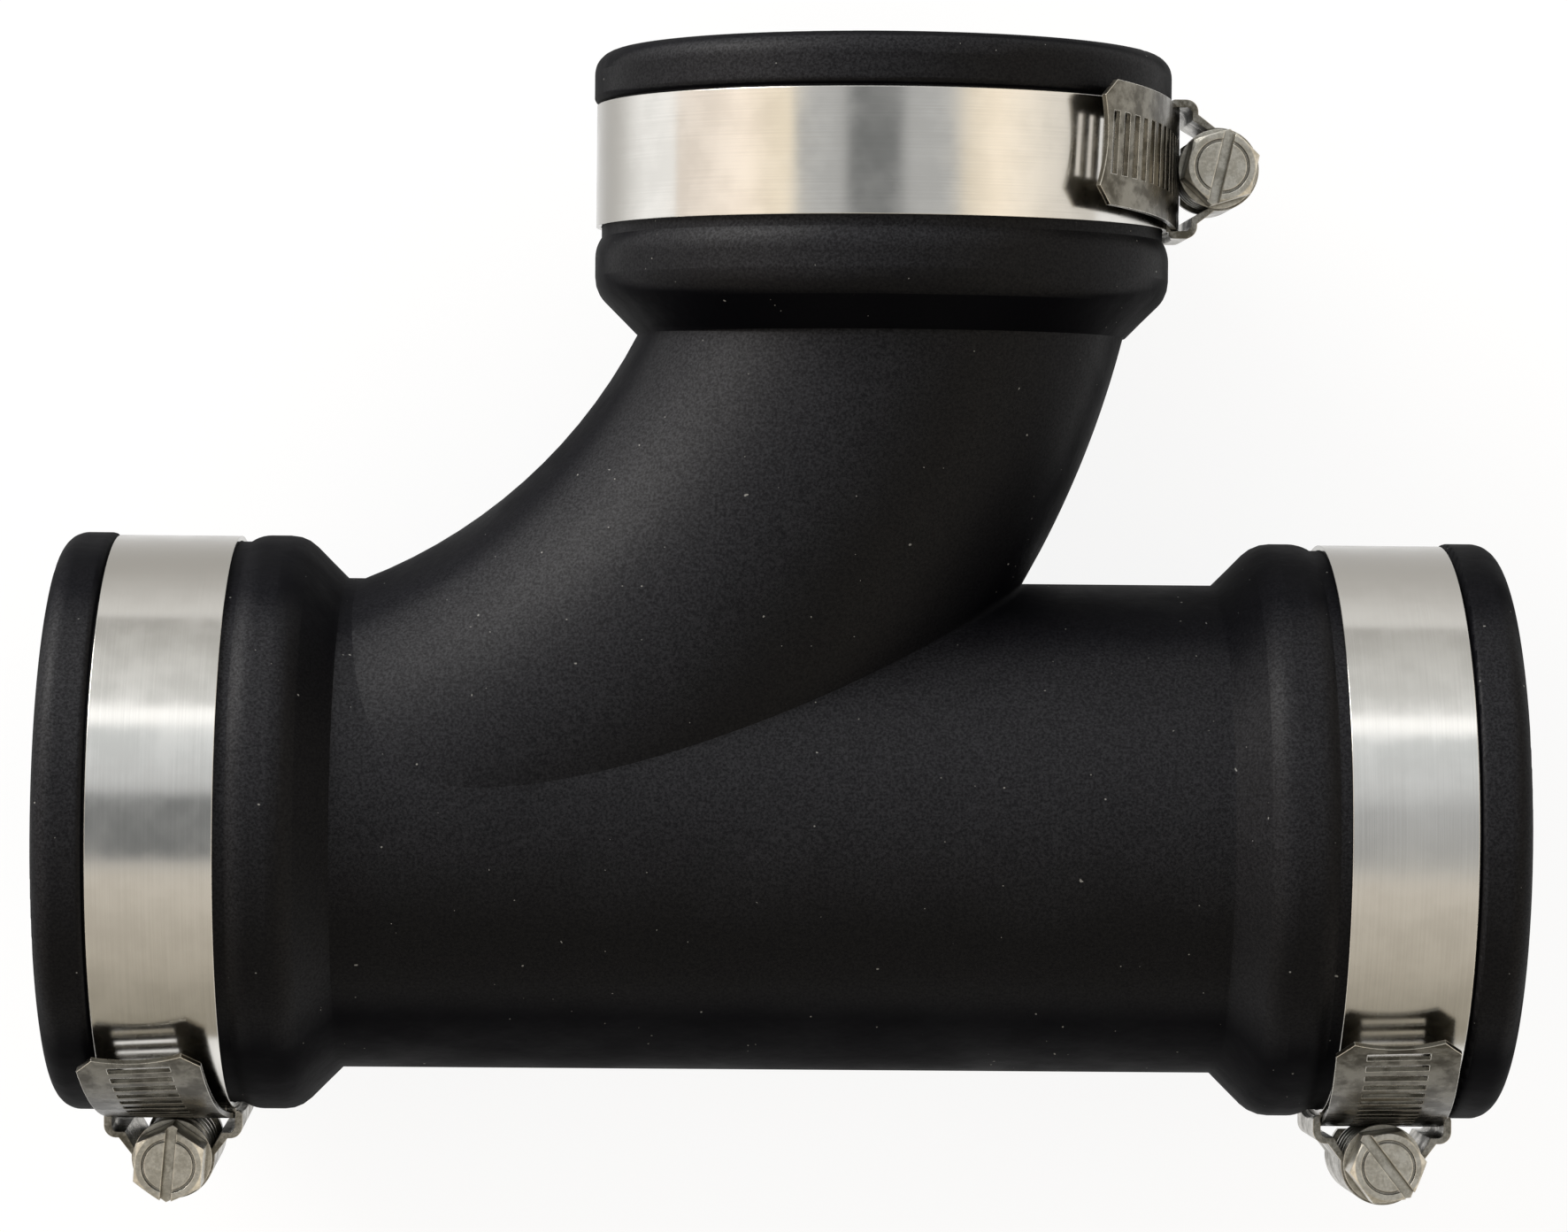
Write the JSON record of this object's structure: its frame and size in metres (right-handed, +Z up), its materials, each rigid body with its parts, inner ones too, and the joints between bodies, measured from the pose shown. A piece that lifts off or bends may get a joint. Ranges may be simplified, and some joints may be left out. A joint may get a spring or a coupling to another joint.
{
  "type": "rubber pipe tee",
  "caption": "Flexible black rubber pipe tee with a swept branch and stainless worm-drive clamps on its sockets.",
  "frame": {"origin": "on the ground under the middle of the object's outline, with the tee lying on its back on its three lips", "axes": "+X along the straight run to its right end, +Y along the branch to its open end, +Z up"},
  "size_m": [0.1694, 0.1358, 0.0684],
  "materials": {
    "rubber": "matte",
    "band": "satin",
    "saddle": "satin",
    "housing": "satin",
    "screw": "satin"
  },
  "bodies": {
    "tee": {"rubber_tee": "rubber", "band_left": "band", "saddle_left": "saddle", "housing_left": "housing", "band_right": "band", "saddle_right": "saddle", "housing_right": "housing", "band_branch": "band", "saddle_branch": "saddle", "housing_branch": "housing"},
    "screw_left": {"screw_left": "screw"},
    "screw_right": {"screw_right": "screw"},
    "screw_branch": {"screw_branch": "screw"}
  },
  "joints": [
    {"name": "screw_left_turn", "type": "hinge", "parent": "tee", "child": "screw_left", "pos_m": [-0.07121, -0.06264, 0.03215], "axis": [0, -0.0523, 0.9986], "continuous": true},
    {"name": "screw_right_turn", "type": "hinge", "parent": "tee", "child": "screw_right", "pos_m": [0.07121, -0.06264, 0.03625], "axis": [0, 0.0523, 0.9986], "continuous": true},
    {"name": "screw_branch_turn", "type": "hinge", "parent": "tee", "child": "screw_branch", "pos_m": [0.0507, 0.05441, 0.0342], "axis": [0, 0, 1], "continuous": true}
  ]
}
